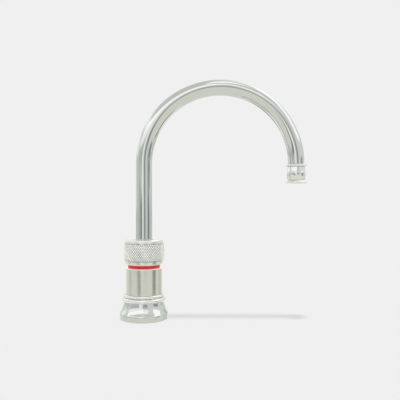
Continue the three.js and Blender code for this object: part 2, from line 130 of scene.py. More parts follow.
def noise(tree, where, scale, detail=2.0, roughness=0.5):
    node = tree.nodes.new("ShaderNodeTexNoise")
    setInput(tree, node.inputs["Vector"], where)
    setInput(tree, node.inputs["Scale"], scale)
    setInput(tree, node.inputs["Detail"], detail)
    setInput(tree, node.inputs["Roughness"], roughness)
    return node.outputs[0]


def stretched(tree, where, scale):
    node = tree.nodes.new("ShaderNodeMapping")
    setInput(tree, node.inputs["Vector"], where)
    node.inputs["Scale"].default_value = scale
    return node.outputs[0]


def objectPlace(tree):
    return tree.nodes.new("ShaderNodeTexCoord").outputs["Object"]


def apart(tree, where):
    # X, Y and Z
    node = tree.nodes.new("ShaderNodeSeparateXYZ")
    setInput(tree, node.inputs[0], where)
    return node.outputs


def heightAndRadius(tree):
    split = apart(tree, objectPlace(tree))
    squares = [calc(tree, "MULTIPLY", split[i], split[i]) for i in (0, 1)]
    return split[2], calc(tree, "SQRT", calc(tree, "ADD", *squares))


def bump(tree, height, strength, distance):
    node = tree.nodes.new("ShaderNodeBump")
    node.inputs["Strength"].default_value = strength
    node.inputs["Distance"].default_value = distance
    setInput(tree, node.inputs["Height"], height)
    return node.outputs[0]


def newGroup(name, inputs, outputs):
    # the inputs and outputs are all plain numbers
    group = bpy.data.node_groups.new(name, "ShaderNodeTree")
    kind = "NodeSocketFloat"
    for label, value in inputs.items():
        socket = group.interface.new_socket(name=label, in_out="INPUT", socket_type=kind)
        socket.default_value = value
    for label in outputs:
        group.interface.new_socket(name=label, in_out="OUTPUT", socket_type=kind)
    given = group.nodes.new("NodeGroupInput").outputs
    return group, given, group.nodes.new("NodeGroupOutput").inputs


def useGroup(tree, group, **values):
    node = tree.nodes.new("ShaderNodeGroup")
    node.node_tree = group
    for label, value in values.items():
        setInput(tree, node.inputs[label], value)
    return node.outputs


# ---- Shared surface effects ----

def makeHandling():
    # soft wipe marks and hairline scratches, as on plate that is cleaned every day
    marks = {"cloudDetail": 4.0, "cloudRoughness": 0.6, "wiped": (0.35, 0.75),
             "uprightScale": (900, 900, 60), "upright": (0.66, 0.74),
             "levelScale": (120, 120, 1400), "level": (0.68, 0.76)}
    group, given, result = newGroup(
        "handling",
        {"Roughness": 0.06, "Wipe": 0.04, "Scratch": 0.1, "WipeScale": 70.0},
        ("Roughness", "Lines", "Cloud"),
    )
    where = objectPlace(group)
    cloud = noise(group, where, given["WipeScale"], marks["cloudDetail"], marks["cloudRoughness"])
    upright = noise(group, stretched(group, where, marks["uprightScale"]), 1.0, 1.0)
    level = noise(group, stretched(group, where, marks["levelScale"]), 1.0, 1.0)
    uprightLines = ramp(group, upright, *marks["upright"])
    lines = calc(group, "MAXIMUM", uprightLines, ramp(group, level, *marks["level"]))
    wiped = calc(group, "MULTIPLY", ramp(group, cloud, *marks["wiped"]), given["Wipe"])
    scratched = calc(group, "MULTIPLY", lines, given["Scratch"])
    total = calc(group, "ADD", calc(group, "ADD", given["Roughness"], wiped), scratched)
    group.links.new(total, result["Roughness"])
    group.links.new(lines, result["Lines"])
    group.links.new(cloud, result["Cloud"])
    return group


def makeTurning():
    # the fine rings that a lathe leaves, by height and by radius
    group, given, result = newGroup("turning", {"Spacing": 0.0004}, ("Height",))
    height, radius = heightAndRadius(group)
    along = calc(group, "DIVIDE", calc(group, "ADD", height, radius), given["Spacing"])
    rings = group.nodes.new("ShaderNodeTexNoise")
    rings.noise_dimensions = "1D"
    rings.inputs["Detail"].default_value = 3.0
    rings.inputs["Scale"].default_value = 1.0
    setInput(group, rings.inputs["W"], along)
    group.links.new(rings.outputs[0], result["Height"])
    return group


def makeMoulded():
    # the pebbled skin and faint mottle of moulded plastic and rubber
    skin = {"pebbleDetail": 2.0, "mottleScale": 120.0, "mottleDetail": 3.0}
    group, given, result = newGroup("moulded", {"Pebble": 2500.0}, ("Height", "Mottle"))
    where = objectPlace(group)
    pebbles = noise(group, where, given["Pebble"], skin["pebbleDetail"])
    mottle = noise(group, where, skin["mottleScale"], skin["mottleDetail"])
    group.links.new(pebbles, result["Height"])
    group.links.new(mottle, result["Mottle"])
    return group


handling, turning, moulded = makeHandling(), makeTurning(), makeMoulded()


# ---- Materials, one for each slot of the record and a few more for single pieces ----

# the knurling's "tip" attribute, which sets the painted shade in the grooves, is 0 in the grooves,
# this at their edges, and 1 on the crowns
tipAtEdge = 0.6


def newMaterial(name, **sockets):
    material = bpy.data.materials.new(name)
    material.use_nodes = True
    tree = material.node_tree
    shader = tree.nodes["Principled BSDF"]
    for label, value in sockets.items():
        setInput(tree, shader.inputs[label], value)
    return material, tree, shader


def connect(tree, shader, colour, roughness, normal=None):
    setInput(tree, shader.inputs["Base Color"], colour)
    setInput(tree, shader.inputs["Roughness"], roughness)
    if normal:
        setInput(tree, shader.inputs["Normal"], normal)


def addSpill(tree, shader, fromHeight, toHeight, colour):
    # the red ring's light on the edge beside it
    height, _ = heightAndRadius(tree)
    near = ramp(tree, height, fromHeight * mm, toHeight * mm, smooth=True)
    spilt = mixColour(tree, near, (0.0, 0.0, 0.0), colour)
    setInput(tree, shader.inputs["Emission Color"], spilt)
    shader.inputs["Emission Strength"].default_value = 1.0


def polishedChrome(name, base, roughness, spill=None):
    look = {"wipe": 0.035, "scratch": 0.05, "cloud": (0.3, 0.6), "cloudShade": 0.03,
            "lineStrength": 0.05, "lineDepth": 0.00002}
    material, tree, shader = newMaterial(name, Metallic=1.0)
    worn = useGroup(tree, handling, Roughness=roughness, Wipe=look["wipe"], Scratch=look["scratch"])
    colour = shaded(tree, base, ramp(tree, worn["Cloud"], *look["cloud"]), look["cloudShade"])
    lines = bump(tree, worn["Lines"], look["lineStrength"], look["lineDepth"])
    connect(tree, shader, colour, worn["Roughness"], lines)
    if spill:
        addSpill(tree, shader, *spill)
    return material


def knurledChrome():
    # painted light and shade: the base is the chrome made much paler than the foot's, and the grooves
    # are painted darker than the crowns
    look = {"base": (0.86, 0.865, 0.84), "paintedGrooveShade": 0.78, "roughness": 0.07, "wipe": 0.08,
            "wipeScale": 300.0, "scratch": 0.06}
    material, tree, shader = newMaterial("knurled_chrome", Metallic=1.0)
    worn = useGroup(tree, handling, Roughness=look["roughness"], Wipe=look["wipe"],
                    Scratch=look["scratch"], WipeScale=look["wipeScale"])
    tip = tree.nodes.new("ShaderNodeAttribute")
    tip.attribute_name = "tip"
    # painted shade: darker down in the grooves, where the tip attribute is low
    raised = ramp(tree, tip.outputs["Fac"], 0.0, tipAtEdge)
    colour = shaded(tree, look["base"], raised, look["paintedGrooveShade"])
    connect(tree, shader, colour, worn["Roughness"])
    return material


def satinChrome():
    look = {"base": (0.615, 0.622, 0.585), "roughness": 0.13, "wipe": 0.05, "scratch": 0.03,
            "cloud": (0.3, 0.6), "cloudShade": 0.04, "ringSpacing": 0.00012, "rings": (0.3, 0.7),
            "ringShade": 0.06, "ringStrength": 0.4, "ringDepth": 0.00002,
            "spillDepths": (0.9, 0.2), "spill": (0.42, 0.2, 0.18)}
    material, tree, shader = newMaterial("satin_chrome", Metallic=1.0)
    marks = useGroup(tree, turning, Spacing=look["ringSpacing"])
    worn = useGroup(tree, handling, Roughness=look["roughness"], Wipe=look["wipe"],
                    Scratch=look["scratch"])
    turnedRings = ramp(tree, marks["Height"], *look["rings"])
    colour = shaded(tree, look["base"], turnedRings, look["ringShade"])
    colour = shaded(tree, colour, ramp(tree, worn["Cloud"], *look["cloud"]), look["cloudShade"])
    rings = bump(tree, marks["Height"], look["ringStrength"], look["ringDepth"])
    connect(tree, shader, colour, worn["Roughness"], rings)
    addSpill(tree, shader, *[bodyTop - depth for depth in look["spillDepths"]], look["spill"])
    return material


def redLens():
    # a light guide, deep red in its middle; its paler top and bottom edges are painted highlights, in
    # its colour and in its glow
    look = {"core": (0.5, 0.02, 0.024), "topHighlightColour": (0.85, 0.24, 0.22),
            "bottomHighlightColour": (0.98, 0.45, 0.42), "highlightDepth": 1.1, "glow": 0.32, "lamps": 6,
            "lampShade": 0.25, "pebble": 900.0, "mottle": 0.1}
    material, tree, shader = newMaterial("red_lens", Roughness=0.3, IOR=1.45)
    top = place("indicator_ring")["high"]
    split = apart(tree, objectPlace(tree))
    # painted highlights along the top and bottom edges
    topHighlightMask = ramp(tree, split[2], (top - look["highlightDepth"]) * mm, top * mm, smooth=True)
    bottomHighlightMask = ramp(tree, split[2], (bodyTop + look["highlightDepth"]) * mm, bodyTop * mm, smooth=True)
    colour = mixColour(tree, topHighlightMask, look["core"], look["topHighlightColour"])
    colour = mixColour(tree, bottomHighlightMask, colour, look["bottomHighlightColour"])
    flow = useGroup(tree, moulded, Pebble=look["pebble"])
    colour = shaded(tree, colour, flow["Mottle"], look["mottle"])
    setInput(tree, shader.inputs["Base Color"], colour)
    angle = calc(tree, "ARCTAN2", split[1], split[0])
    wave = calc(tree, "COSINE", calc(tree, "MULTIPLY", angle, float(look["lamps"])))
    lit = shaded(tree, colour, ramp(tree, wave, -1.0, 1.0), look["lampShade"])
    setInput(tree, shader.inputs["Emission Color"], lit)
    shader.inputs["Emission Strength"].default_value = look["glow"]
    return material


def turnedMetal(name, base, roughness, spacing, strength):
    look = {"wipe": 0.12, "wipeScale": 160.0, "scratch": 0.1, "cloudShade": 0.15,
            "rings": (0.35, 0.65), "ringShade": 0.12, "ringDepth": 0.00005}
    material, tree, shader = newMaterial(name, Metallic=1.0)
    marks = useGroup(tree, turning, Spacing=spacing)
    worn = useGroup(tree, handling, Roughness=roughness, Wipe=look["wipe"],
                    Scratch=look["scratch"], WipeScale=look["wipeScale"])
    colour = shaded(tree, base, ramp(tree, marks["Height"], *look["rings"]), look["ringShade"])
    colour = shaded(tree, colour, worn["Cloud"], look["cloudShade"])
    rings = bump(tree, marks["Height"], strength, look["ringDepth"])
    connect(tree, shader, colour, worn["Roughness"], rings)
    return material


def mouldedPlastic(name, base, roughness, pebble, strength, mottle=0.08):
    look = {"mottled": (0.35, 0.65), "dulled": (0.3, 0.7), "dulling": 0.1, "pebbleDepth": 0.00003}
    material, tree, shader = newMaterial(name, IOR=1.47)
    skin = useGroup(tree, moulded, Pebble=pebble)
    colour = shaded(tree, base, ramp(tree, skin["Mottle"], *look["mottled"]), mottle)
    dull = ramp(tree, skin["Mottle"], *look["dulled"], roughness, roughness + look["dulling"])
    connect(tree, shader, colour, dull, bump(tree, skin["Height"], strength, look["pebbleDepth"]))
    return material


def circuitBoard():
    look = {"mask": (0.02, 0.12, 0.06), "track": (0.07, 0.27, 0.13), "pitch": 0.0011,
            "trackEdge": (0.35, 0.5), "trackSlope": (0.3, 0.6), "trackDepth": 0.00003,
            "trackStrength": 0.3, "roughness": (0.42, 0.3), "fibres": 1800.0, "fibreShade": 0.2}
    material, tree, shader = newMaterial("circuit_board", IOR=1.5)
    _, radius = heightAndRadius(tree)
    tracks = calc(tree, "SINE", calc(tree, "MULTIPLY", radius, math.tau / look["pitch"]))
    fibres = useGroup(tree, moulded, Pebble=look["fibres"])
    colour = mixColour(tree, ramp(tree, tracks, *look["trackEdge"]), look["mask"], look["track"])
    colour = shaded(tree, colour, fibres["Mottle"], look["fibreShade"])
    gloss = ramp(tree, tracks, *look["trackSlope"], *look["roughness"])
    raised = ramp(tree, tracks, *look["trackSlope"])
    raised = bump(tree, raised, look["trackStrength"], look["trackDepth"])
    connect(tree, shader, colour, gloss, raised)
    return material


# base colour and roughness; turned metal has the spacing and strength of its rings, and moulded
# pieces have the scale and strength of their pebbles and how dark their mottle is
rimSpill = (ringTop + 1.6, ringTop + 0.2, (0.16, 0.05, 0.045))
finishes = {
    # all the chrome is one plate: the paler bases of the nozzle, bright, outlet, cap and rim chrome
    # are painted light that makes those pieces look brighter, while their roughness is their own
    "polished_chrome": polishedChrome("polished_chrome", (0.572, 0.591, 0.573), 0.045),
    "nozzle_chrome": polishedChrome("nozzle_chrome", (0.655, 0.672, 0.655), 0.06),
    "bright_chrome": polishedChrome("bright_chrome", (0.74, 0.745, 0.73), 0.2),
    "outlet_chrome": polishedChrome("outlet_chrome", (0.74, 0.745, 0.725), 0.45),
    "cap_chrome": polishedChrome("cap_chrome", (0.76, 0.765, 0.75), 0.32),
    "rim_chrome": polishedChrome("rim_chrome", (0.7, 0.705, 0.69), 0.2, rimSpill),
    "knurled_chrome": knurledChrome(),
    "satin_chrome": satinChrome(),
    "red_lens": redLens(),
    "brass": turnedMetal("brass", (0.62, 0.42, 0.16), 0.24, 0.0003, 0.3),
    "steel": turnedMetal("steel", (0.5, 0.505, 0.51), 0.26, 0.00025, 0.25),
    "black_rubber": mouldedPlastic("black_rubber", (0.022, 0.022, 0.023), 0.62, 1800.0, 0.5, 0.25),
    "white_plastic": mouldedPlastic("white_plastic", (0.8, 0.79, 0.75), 0.4, 2200.0, 0.2),
    "black_plastic": mouldedPlastic("black_plastic", (0.03, 0.031, 0.034), 0.45, 2600.0, 0.4, 0.2),
    "circuit_board": circuitBoard(),
    "hose_white": mouldedPlastic("hose_white", (0.86, 0.86, 0.83), 0.28, 700.0, 0.08, 0.04),
}
for node, cadPiece in frame["nodes"].items():
    cadPiece.data.materials.clear()
    cadPiece.data.materials.append(finishes[slotOf[node]])
print("materials made:", len(finishes))


# ---- Modelling helpers ----

def edgesOf(made):
    return [item for item in made if isinstance(item, bmesh.types.BMEdge)]


def vertsOf(made):
    return [item for item in made if isinstance(item, bmesh.types.BMVert)]


def addOutline(bm, corners, x=0.0):
    # a closed outline in the XZ plane; each corner is (radius, height, round), and the round may be
    # left out
    verts = [bm.verts.new(((x + corner[0]) * mm, 0, corner[1] * mm)) for corner in corners]
    for first, second in zip(verts, verts[1:] + verts[:1]):
        bm.edges.new((first, second))
    for vert, corner in zip(verts, corners):
        if len(corner) > 2:
            steps = 3 + min(9, int(corner[2] * 2))  # more on a larger round
            bmesh.ops.bevel(bm, geom=[vert], offset=corner[2] * mm, offset_type="OFFSET",
                            segments=steps, profile=0.5, affect="VERTICES", material=-1)


def addWireSection(bm, wire, x, height, sides):
    # a wire's round section, upright in the XZ plane
    spot = Matrix.Translation(Vector((x, 0, height)) * mm) @ Matrix.Rotation(math.pi / 2, 4, "X")
    bmesh.ops.create_circle(bm, cap_ends=False, radius=wire * mm, segments=sides, matrix=spot)


def addRing(bm, loop, radius, height):
    # carries a loop of edges on to another circle about the main axis
    made = bmesh.ops.extrude_edge_only(bm, edges=loop)["geom"]
    for vert in vertsOf(made):
        vert.co.xy = vert.co.xy.normalized() * radius * mm
        vert.co.z = height * mm
    return edgesOf(made)


def spinRound(bm, sides, x=0.0):
    bmesh.ops.spin(bm, geom=bm.verts[:] + bm.edges[:], cent=(x * mm, 0, 0), axis=(0, 0, 1),
                   dvec=(0, 0, 0), angle=math.tau, steps=sides, use_merge=True,
                   use_duplicate=False)


def cutPlane(bm, point, outward, clear=True):
    # gives the edges of the cut; what lies beyond the plane is cleared away
    made = bmesh.ops.bisect_plane(bm, geom=bm.verts[:] + bm.edges[:] + bm.faces[:], dist=1e-7,
                                  plane_co=point, plane_no=outward, clear_outer=clear)
    return edgesOf(made["geom_cut"])


def cutFlats(bm, acrossFlats):
    # six flats round a turned blank
    for i in range(6):
        outward = Matrix.Rotation(math.tau * i / 6, 3, "Z") @ Vector((1, 0, 0))
        cut = cutPlane(bm, outward * acrossFlats / 2 * mm, outward)
        bmesh.ops.contextual_create(bm, geom=cut)


def woundThread(bm, thread, low, high):
    # one turn of the outline is wound on a helix, stacked, and cut level at both ends; gives the
    # end loops
    pitch, sides = thread["pitch"], thread["sides"]
    turns = math.ceil((high - low) / pitch) + 2
    # shares of the pitch, and the radius there
    outline = ((0.0, "root"), (0.4, "crest"), (0.52, "crest"), (0.92, "root"), (1.0, "root"))
    verts = [bm.verts.new((thread[name] * mm, 0, (low + (share - 1.5) * pitch) * mm))
             for share, name in outline]
    edges = [bm.edges.new(pair) for pair in zip(verts, verts[1:])]
    bmesh.ops.spin(bm, geom=verts + edges, cent=(0, 0, 0), axis=(0, 0, 1),
                   dvec=(0, 0, pitch / sides * mm), angle=math.tau, steps=sides,
                   use_merge=False, use_duplicate=False)
    firstTurn = bm.verts[:] + bm.edges[:] + bm.faces[:]
    for i in range(1, turns):
        made = bmesh.ops.duplicate(bm, geom=firstTurn)["geom"]
        bmesh.ops.translate(bm, verts=vertsOf(made), vec=(0, 0, i * pitch * mm))
    bmesh.ops.remove_doubles(bm, verts=bm.verts, dist=weld)
    lowLoop = cutPlane(bm, (0, 0, low * mm), (0, 0, -1))
    return lowLoop, cutPlane(bm, (0, 0, high * mm), (0, 0, 1))


def holedDisc(bm, radius, holes, low, high, x=0.0):
    # a plate with straight holes, each (x, y, radius, sides)
    bmesh.ops.create_circle(bm, cap_ends=False, radius=radius * mm, segments=narrowSides)
    for holeX, holeY, holeRadius, holeSides in holes:
        spot = Matrix.Translation(Vector((holeX, holeY, 0)) * mm)
        bmesh.ops.create_circle(bm, cap_ends=False, radius=holeRadius * mm, segments=holeSides,
                                matrix=spot)
    bmesh.ops.triangle_fill(bm, use_beauty=True, use_dissolve=False, edges=bm.edges[:])
    made = bmesh.ops.extrude_face_region(bm, geom=bm.faces[:])["geom"]
    bmesh.ops.translate(bm, verts=vertsOf(made), vec=(0, 0, (high - low) * mm))
    bmesh.ops.translate(bm, verts=bm.verts, vec=(x * mm, 0, low * mm))


def addObject(name, data):
    made = bpy.data.objects.new(name, data)
    bpy.context.scene.collection.objects.link(made)
    return made


def addMesh(name, bm):
    mesh = bpy.data.meshes.new(name)
    bm.to_mesh(mesh)
    bm.free()
    return addObject(name, mesh)


def finishPiece(bm, name, node, finish=None, sharpAngle=32.0):
    bmesh.ops.remove_doubles(bm, verts=bm.verts, dist=weld)
    bmesh.ops.recalc_face_normals(bm, faces=bm.faces)
    piece = addMesh(name, bm)
    piece.data.shade_smooth()
    piece.data.set_sharp_from_angle(angle=math.radians(sharpAngle))
    piece.data.materials.append(finishes[finish or slotOf[node]])
    weighted = piece.modifiers.new("face weight", "WEIGHTED_NORMAL")
    weighted.keep_sharp = True
    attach(piece, bodyOf[node])
    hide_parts(node)
    return piece


def turned(name, node, corners, x=0.0, sides=wideSides, acrossFlats=None, finish=None):
    bm = bmesh.new()
    addOutline(bm, corners, x)
    spinRound(bm, sides, x)
    if acrossFlats:
        cutFlats(bm, acrossFlats)
    return finishPiece(bm, name, node, finish)


# ---- Foot, collar, body and light ring ----

sleeveSunk = 0.3  # how deep the sleeve stands in the collar


def makeFoot():
    foot = {"lowEdge": 0.6, "rimHeight": 7.1, "rimEdge": 1.0, "bendRadius": 26.2,
            "bendHeight": 12.9, "bendRound": 6.0, "waist": 24.8, "waistEdge": 0.2, "bore": 17.8,
            "recess": 26.8, "recessDepth": 1.5}
    at = place("flared_foot")
    return turned("foot", "flared_foot", [
        (foot["recess"], at["low"]),
        (at["radius"], at["low"], foot["lowEdge"]),
        (at["radius"], foot["rimHeight"], foot["rimEdge"]),
        (foot["bendRadius"], foot["bendHeight"], foot["bendRound"]),
        (foot["waist"], at["high"], foot["waistEdge"]),
        (foot["bore"], at["high"]),
        (foot["bore"], at["low"] + foot["recessDepth"]),
        (foot["recess"], at["low"] + foot["recessDepth"]),
    ])


def makeCollar():
    collar = {"neck": 25.0, "neckRise": 0.1, "beadUnder": 2.2, "beadTop": 26.9, "beadOver": 2.35,
              "groove": 23.8, "grooveTop": 27.4, "grooveEdge": 0.25, "lip": 25.2, "lipRound": 1.5,
              "lipInner": 22.8, "lipSlope": 0.2, "bore": 17.8, "seat": 20.4, "seatHeight": 26.9}
    at = place("collar_ring")
    footTop = place("flared_foot")["high"]
    return turned("collar", "collar_ring", [
        (collar["bore"], footTop),
        (collar["neck"], footTop),
        (collar["neck"], at["low"] + collar["neckRise"]),
        (at["radius"], at["low"] + collar["neckRise"], collar["beadUnder"]),
        (at["radius"], collar["beadTop"], collar["beadOver"]),
        (collar["groove"], collar["beadTop"], collar["grooveEdge"]),
        (collar["groove"], collar["grooveTop"], collar["grooveEdge"]),
        (collar["lip"], collar["grooveTop"], collar["lipRound"]),
        (collar["lip"], at["high"], collar["lipRound"]),
        (collar["lipInner"], at["high"], collar["lipSlope"]),
        (collar["lipInner"] - collar["lipSlope"], at["high"] - sleeveSunk),
        (collar["seat"], at["high"] - sleeveSunk),
        (collar["seat"], collar["seatHeight"]),
        (collar["bore"], collar["seatHeight"]),
    ], finish="bright_chrome")


def makeSleeve():
    sleeve = {"bore": 20.4, "lowEdge": 0.15, "highEdge": 0.9}
    at = place("body_sleeve")
    low = place("collar_ring")["high"] - sleeveSunk
    return turned("sleeve", "body_sleeve", [
        (sleeve["bore"], low),
        (at["radius"], low, sleeve["lowEdge"]),
        (at["radius"], at["high"], sleeve["highEdge"]),
        (sleeve["bore"], at["high"]),
    ])


def makeLightRing():
    lens = {"bore": 16.8, "lowEdge": 0.2, "highEdge": 0.7}
    at = place("indicator_ring")
    return turned("light_ring", "indicator_ring", [
        (lens["bore"], at["low"]),
        (at["radius"], at["low"], lens["lowEdge"]),
        (at["radius"], at["high"], lens["highEdge"]),
        (lens["bore"], at["high"]),
    ])


# ---- Knob ----

def makeKnurl():
    knurl = {"around": 60, "rows": 6, "plain": 0.5, "bore": 22.2, "endRadius": 24.3,
             "groove": (0.36, 0.3), "crown": (0.45, 0.13),  # each is (width, depth)
             "sharpAngle": 12.0}
    at = place("knob_shell")
    middle = (at["low"] + at["high"]) / 2
    half = (at["high"] - at["low"]) / 2 - knurl["plain"]
    depth = knurl["groove"][1] + knurl["crown"][1]
    bm = bmesh.new()
    bmesh.ops.create_circle(bm, cap_ends=False, radius=at["radius"] * mm, segments=knurl["around"])
    bmesh.ops.translate(bm, verts=bm.verts, vec=(0, 0, (middle - half) * mm))
    row = bm.edges[:]
    for i in range(1, knurl["rows"] + 1):
        row = addRing(bm, row, at["radius"], middle - half + 2 * half * i / knurl["rows"])
    square = bm.edges[:]
    bmesh.ops.poke(bm, faces=bm.faces[:])
    inner = [edge for edge in square if edge.is_valid and len(edge.link_faces) == 2]
    bmesh.ops.dissolve_edges(bm, edges=inner, use_verts=False)
    diamonds = bm.faces[:]  # with the half diamonds at both ends
    for vert in bm.verts:  # the bottom of the grooves lies on a barrel
        share = (vert.co.z / mm - middle) / half
        radius = at["radius"] - (at["radius"] - knurl["endRadius"]) * share * share - depth
        vert.co.xy = vert.co.xy.normalized() * radius * mm
    border = [edge for edge in bm.edges if edge.is_boundary]
    tipLayer = bm.verts.layers.float.new("tip")
    grooved = set(bm.verts)
    ends = []
    for side in (-1, 1):  # a plain edge, then the bore
        loop = [edge for edge in border if (edge.verts[0].co.z / mm - middle) * side > 0]
        endHeight = middle + side * (half + knurl["plain"])
        loop = addRing(bm, loop, knurl["endRadius"] - depth, endHeight)
        ends += addRing(bm, loop, knurl["bore"], endHeight)
    for vert in bm.verts:
        vert[tipLayer] = 0.0 if vert in grooved else 1.0
    bmesh.ops.recalc_face_normals(bm, faces=bm.faces)
    for (width, rise), tip in ((knurl["groove"], tipAtEdge), (knurl["crown"], 1.0)):
        bmesh.ops.inset_individual(bm, faces=diamonds, thickness=width * mm, depth=rise * mm,
                                   use_even_offset=True)
        for face in diamonds:
            for vert in face.verts:
                vert[tipLayer] = tip
    bmesh.ops.bridge_loops(bm, edges=ends)
    return finishPiece(bm, "knurled_shell", "knob_shell", "knurled_chrome", knurl["sharpAngle"])


def makeTopCap():
    cap = {"spigot": 21.9, "spigotBore": 20.4, "gap": 0.05, "rimWidth": 2.4, "rimTop": 1.9,
           "rimUnder": 0.2, "rimInner": 0.4, "rimSlope": 0.6, "faceEdge": 0.3, "sunk": 0.3,
           "bore": 10.9, "wiperSeat": 12.4, "underside": 95.8, "wiperHigh": 96.5, "proud": 0.5}
    at = place("knob_top_cap")
    top = at["high"] + cap["proud"]
    face = top - cap["sunk"]
    shoulder = place("knob_shell")["high"] + cap["gap"]
    rimInside = at["radius"] - cap["rimWidth"]
    return turned("cap", "knob_top_cap", [
        (cap["spigotBore"], at["low"]),
        (cap["spigot"], at["low"]),
        (cap["spigot"], shoulder),
        (at["radius"], shoulder, cap["rimUnder"]),
        (at["radius"], top, cap["rimTop"]),
        (rimInside, top, cap["rimInner"]),
        (rimInside - cap["rimSlope"], face, cap["faceEdge"]),
        (cap["bore"], face, cap["faceEdge"]),
        (cap["bore"], cap["wiperHigh"]),
        (cap["wiperSeat"], cap["wiperHigh"]),
        (cap["wiperSeat"], cap["underside"]),
        (cap["spigotBore"], cap["underside"]),
    ], finish="cap_chrome")


def makeLowerRim():
    rim = {"bore": 20.6, "boreEdge": 0.3, "lowEdge": 1.2, "highEdge": 0.3}
    at = place("knob_lower_rim")
    return turned("lower_rim", "knob_lower_rim", [
        (rim["bore"], at["low"], rim["boreEdge"]),
        (at["radius"], at["low"], rim["lowEdge"]),
        (at["radius"], at["high"], rim["highEdge"]),
        (rim["bore"], at["high"]),
    ], finish="rim_chrome")


def makeSpring():
    spring = {"wire": 0.6, "radius": 15.85, "turns": 3.5, "wireSides": 10, "stepsInTurn": 48}
    at = place("return_spring")
    low = at["low"] + spring["wire"]
    steps = int(spring["turns"] * spring["stepsInTurn"])
    rise = (at["high"] - at["low"] - 2 * spring["wire"]) / steps
    bm = bmesh.new()
    addWireSection(bm, spring["wire"], spring["radius"], low, spring["wireSides"])
    firstLoop = bm.edges[:]
    made = bmesh.ops.spin(bm, geom=bm.verts[:] + firstLoop, cent=(0, 0, 0), axis=(0, 0, 1),
                          steps=steps, dvec=(0, 0, rise * mm), angle=math.tau * spring["turns"],
                          use_merge=False, use_duplicate=False)
    for loop in (firstLoop, edgesOf(made["geom_last"])):
        bmesh.ops.contextual_create(bm, geom=loop)
    piece = finishPiece(bm, "lift_spring", "return_spring")
    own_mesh(piece)
    return piece


# ---- Spout ----

def bendHeightOf(node, radius):
    return place(node)["high"] - spoutX / 2 - radius


def bentTube(name, node, tube, end, outerRows=()):
    # rings of an outer and an inner skin, straight up, half a turn over, straight down, joined at
    # both ends
    low, bendHeight = place(node)["low"], bendHeightOf(node, tube["radius"])
    bm = bmesh.new()
    bend = Vector((spoutX / 2, 0, bendHeight)) * mm
    starts, ends = [], []
    for radius, rows in ((tube["radius"], outerRows), (tube["bore"], ())):
        verts = bmesh.ops.create_circle(bm, cap_ends=False, radius=radius * mm,
                                        segments=tube["sides"])["verts"]
        bmesh.ops.translate(bm, verts=verts, vec=(0, 0, low * mm))
        loop = list({edge for vert in verts for edge in vert.link_edges})
        starts += loop
        for rowHeight, rowRadius in [*rows, (bendHeight, radius)]:
            loop = addRing(bm, loop, rowRadius, rowHeight)
        made = bmesh.ops.spin(bm, geom=loop, cent=bend, axis=(0, 1, 0), dvec=(0, 0, 0),
                              angle=math.pi, steps=tube["steps"], use_merge=False,
                              use_duplicate=False)["geom_last"]
        made = bmesh.ops.extrude_edge_only(bm, edges=edgesOf(made))["geom"]
        for vert in vertsOf(made):
            vert.co.z = end * mm
        ends += edgesOf(made)
    bmesh.ops.bridge_loops(bm, edges=starts)
    bmesh.ops.bridge_loops(bm, edges=ends)
    return finishPiece(bm, name, node)


def makeSpoutTube():
    tube = {"radius": 10.25, "bore": 9.05, "straight": 1.0, "sides": 64, "steps": 120}
    groove = {"radius": 9.7, "play": 0.2}  # for the clip
    clip = place("spout_clip")
    low, high = clip["low"] - groove["play"], clip["high"] + groove["play"]
    end = bendHeightOf("spout_tube", tube["radius"]) - tube["straight"]
    return bentTube("swan_neck", "spout_tube", tube, end, [
        (low, tube["radius"]),
        (low, groove["radius"]),
        (high, groove["radius"]),
        (high, tube["radius"]),
    ])


def makeWaterTube():
    tube = {"radius": 4.0, "bore": 2.8, "aboveOutlet": 16.3, "sides": 32, "steps": 72}
    return bentTube("inner_hose", "water_tube", tube, outletHeight + tube["aboveOutlet"])


# ---- Nozzle: the corners of each outline are (radius, height above the outlet, round) ----

def turnedNozzlePiece(name, node, corners, finish):
    raised = [(radius, height + outletHeight, *edge) for radius, height, *edge in corners.values()]
    return turned(name, node, raised, spoutX, narrowSides, finish=finish)


def makeNozzleCollar():
    flange = {
        "boreLow": (8.9, 20.8), "edgeLow": (12.9, 20.9, 0.2), "edgeHigh": (12.9, 23.2, 0.35),
        "slopeTop": (10.35, 24.1, 0.1), "neck": (10.35, 23.7), "boreHigh": (8.9, 23.7),
    }
    return turnedNozzlePiece("nozzle_flange", "nozzle_collar", flange, "outlet_chrome")


def makeNozzleBell():
    bell = {
        "mouthInside": (9.9, 4.0), "mouth": (10.6, 4.0, 0.1), "step": (10.8, 4.5, 0.2),
        "belly": (12.0, 11.0, 2.2), "shoulder": (11.8, 14.1, 0.9), "waistLow": (11.3, 14.5, 0.2),
        "waistHigh": (10.5, 20.7, 0.1), "boreHigh": (8.9, 20.7), "boreLow": (8.9, 10.0),
        "ledgeHigh": (7.5, 10.0), "ledgeLow": (7.5, 8.2), "pocket": (9.9, 8.2),
    }
    return turnedNozzlePiece("nozzle_body", "nozzle_bell", bell, "nozzle_chrome")


def makeNozzleRim():
    mouth = {
        "boreLow": (7.7, 0.0, 0.15), "edgeLow": (13.2, 0.0, 0.4), "edgeHigh": (13.2, 1.5, 0.35),
        "slopeTop": (11.1, 3.8, 0.1), "spigotLow": (9.5, 3.8), "spigotHigh": (9.5, 7.6),
        "pocketHigh": (8.6, 7.6), "pocketLow": (8.6, 0.9), "boreHigh": (7.7, 0.9),
    }
    return turnedNozzlePiece("nozzle_mouth", "nozzle_rim", mouth, "outlet_chrome")


